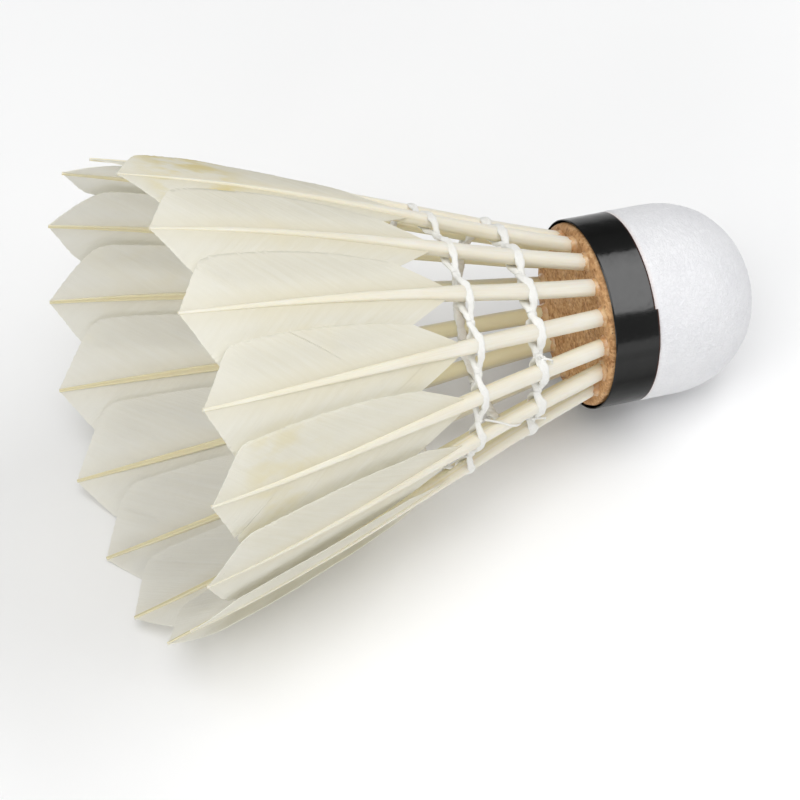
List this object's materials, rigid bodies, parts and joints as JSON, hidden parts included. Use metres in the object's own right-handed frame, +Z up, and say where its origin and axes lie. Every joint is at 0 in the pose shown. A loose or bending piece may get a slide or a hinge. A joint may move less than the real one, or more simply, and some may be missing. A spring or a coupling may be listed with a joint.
{
  "type": "badminton shuttlecock",
  "caption": "Feather shuttlecock with a leather-covered cork base, black tape band, and a flared skirt of overlapping feathers tied by rows of glued thread.",
  "frame": {"origin": "centre of the cork's flat rear face, on the shuttle's own axis", "axes": "+X towards the nose, +Z up with the shuttle lying on its side on a level floor (nose and two feathers touching it), +Y to the left when looking towards the nose; the shuttle's own axis leans 14.32 degrees, skirt end high"},
  "size_m": [0.0946, 0.0654, 0.0635],
  "materials": {
    "natural_cork": "fine-pored natural cork, matt, lightly glazed with adhesive",
    "composite_cork": "pressed cork granules, matt",
    "white_leather": "cool white, satin, fine crinkled grain",
    "black_tape": "black gloss film with a reddish brown cut edge",
    "white_thread": "twisted white cotton stiffened with clear adhesive",
    "feather": "translucent warm white goose feather, ivory shaft, satin"
  },
  "bodies": {
    "base": {"cork_disc": "natural_cork", "cork_dome": "composite_cork", "leather_cover": "white_leather", "black_tape": "black_tape", "thread_row_lower": "white_thread", "thread_row_upper": "white_thread"},
    "feather_01": {"feather_01": "feather"},
    "feather_02": {"feather_02": "feather"},
    "feather_03": {"feather_03": "feather"},
    "feather_04": {"feather_04": "feather"},
    "feather_05": {"feather_05": "feather"},
    "feather_06": {"feather_06": "feather"},
    "feather_07": {"feather_07": "feather"},
    "feather_08": {"feather_08": "feather"},
    "feather_09": {"feather_09": "feather"},
    "feather_10": {"feather_10": "feather"},
    "feather_11": {"feather_11": "feather"},
    "feather_12": {"feather_12": "feather"},
    "feather_13": {"feather_13": "feather"},
    "feather_14": {"feather_14": "feather"},
    "feather_15": {"feather_15": "feather"},
    "feather_16": {"feather_16": "feather"}
  },
  "joints": [
    {"name": "feather_01_flex", "type": "hinge", "parent": "base", "child": "feather_01", "pos_m": [0.00613, -0.00024, 0.00786], "axis": [0.0065, 0.9997, 0.0254], "range_deg": [-3.5, 2], "stiffness_Nm_per_rad": 0.1, "deforming": ["thread_row_lower", "thread_row_upper"]},
    {"name": "feather_02_flex", "type": "hinge", "parent": "base", "child": "feather_02", "pos_m": [0.00599, 0.00327, 0.00728], "axis": [-0.0886, 0.9336, -0.3472], "range_deg": [-3.5, 2], "stiffness_Nm_per_rad": 0.1},
    {"name": "feather_03_flex", "type": "hinge", "parent": "base", "child": "feather_03", "pos_m": [0.00551, 0.00629, 0.00543], "axis": [-0.1702, 0.7254, -0.667], "range_deg": [-3.5, 2], "stiffness_Nm_per_rad": 0.1},
    {"name": "feather_04_flex", "type": "hinge", "parent": "base", "child": "feather_04", "pos_m": [0.00479, 0.00835, 0.00261], "axis": [-0.2259, 0.4067, -0.8852], "range_deg": [-3.5, 2], "stiffness_Nm_per_rad": 0.1},
    {"name": "feather_05_flex", "type": "hinge", "parent": "base", "child": "feather_05", "pos_m": [0.00393, 0.00913, -0.00076], "axis": [-0.2472, 0.0262, -0.9686], "range_deg": [-3.5, 2], "stiffness_Nm_per_rad": 0.1},
    {"name": "feather_06_flex", "type": "hinge", "parent": "base", "child": "feather_06", "pos_m": [0.00307, 0.00853, -0.00416], "axis": [-0.2309, -0.3584, -0.9046], "range_deg": [-3.5, 2], "stiffness_Nm_per_rad": 0.1},
    {"name": "feather_07_flex", "type": "hinge", "parent": "base", "child": "feather_07", "pos_m": [0.00232, 0.00663, -0.00708], "axis": [-0.1794, -0.6884, -0.7028], "range_deg": [-3.5, 2], "stiffness_Nm_per_rad": 0.1},
    {"name": "feather_08_flex", "type": "hinge", "parent": "base", "child": "feather_08", "pos_m": [0.00181, 0.00372, -0.00908], "axis": [-0.1006, -0.9135, -0.3941], "range_deg": [-3.5, 2], "stiffness_Nm_per_rad": 0.1},
    {"name": "feather_09_flex", "type": "hinge", "parent": "base", "child": "feather_09", "pos_m": [0.00162, 0.00024, -0.00984], "axis": [-0.0065, -0.9997, -0.0254], "range_deg": [-3.5, 2], "stiffness_Nm_per_rad": 0.1},
    {"name": "feather_10_flex", "type": "hinge", "parent": "base", "child": "feather_10", "pos_m": [0.00177, -0.00327, -0.00925], "axis": [0.0886, -0.9336, 0.3472], "range_deg": [-3.5, 2], "stiffness_Nm_per_rad": 0.1},
    {"name": "feather_11_flex", "type": "hinge", "parent": "base", "child": "feather_11", "pos_m": [0.00224, -0.00629, -0.00741], "axis": [0.1702, -0.7254, 0.667], "range_deg": [-3.5, 2], "stiffness_Nm_per_rad": 0.1},
    {"name": "feather_12_flex", "type": "hinge", "parent": "base", "child": "feather_12", "pos_m": [0.00296, -0.00835, -0.00459], "axis": [0.2259, -0.4067, 0.8852], "range_deg": [-3.5, 2], "stiffness_Nm_per_rad": 0.1},
    {"name": "feather_13_flex", "type": "hinge", "parent": "base", "child": "feather_13", "pos_m": [0.00382, -0.00913, -0.00122], "axis": [0.2472, -0.0262, 0.9686], "range_deg": [-3.5, 2], "stiffness_Nm_per_rad": 0.1},
    {"name": "feather_14_flex", "type": "hinge", "parent": "base", "child": "feather_14", "pos_m": [0.00469, -0.00853, 0.00218], "axis": [0.2309, 0.3584, 0.9046], "range_deg": [-3.5, 2], "stiffness_Nm_per_rad": 0.1},
    {"name": "feather_15_flex", "type": "hinge", "parent": "base", "child": "feather_15", "pos_m": [0.00543, -0.00663, 0.0051], "axis": [0.1794, 0.6884, 0.7028], "range_deg": [-3.5, 2], "stiffness_Nm_per_rad": 0.1},
    {"name": "feather_16_flex", "type": "hinge", "parent": "base", "child": "feather_16", "pos_m": [0.00594, -0.00372, 0.0071], "axis": [0.1006, 0.9135, 0.3941], "range_deg": [-3.5, 2], "stiffness_Nm_per_rad": 0.1}
  ],
  "couplings": [
    {"joint": "feather_02_flex", "follows": "feather_01_flex", "ratio": 1},
    {"joint": "feather_03_flex", "follows": "feather_01_flex", "ratio": 1},
    {"joint": "feather_04_flex", "follows": "feather_01_flex", "ratio": 1},
    {"joint": "feather_05_flex", "follows": "feather_01_flex", "ratio": 1},
    {"joint": "feather_06_flex", "follows": "feather_01_flex", "ratio": 1},
    {"joint": "feather_07_flex", "follows": "feather_01_flex", "ratio": 1},
    {"joint": "feather_08_flex", "follows": "feather_01_flex", "ratio": 1},
    {"joint": "feather_09_flex", "follows": "feather_01_flex", "ratio": 1},
    {"joint": "feather_10_flex", "follows": "feather_01_flex", "ratio": 1},
    {"joint": "feather_11_flex", "follows": "feather_01_flex", "ratio": 1},
    {"joint": "feather_12_flex", "follows": "feather_01_flex", "ratio": 1},
    {"joint": "feather_13_flex", "follows": "feather_01_flex", "ratio": 1},
    {"joint": "feather_14_flex", "follows": "feather_01_flex", "ratio": 1},
    {"joint": "feather_15_flex", "follows": "feather_01_flex", "ratio": 1},
    {"joint": "feather_16_flex", "follows": "feather_01_flex", "ratio": 1}
  ]
}
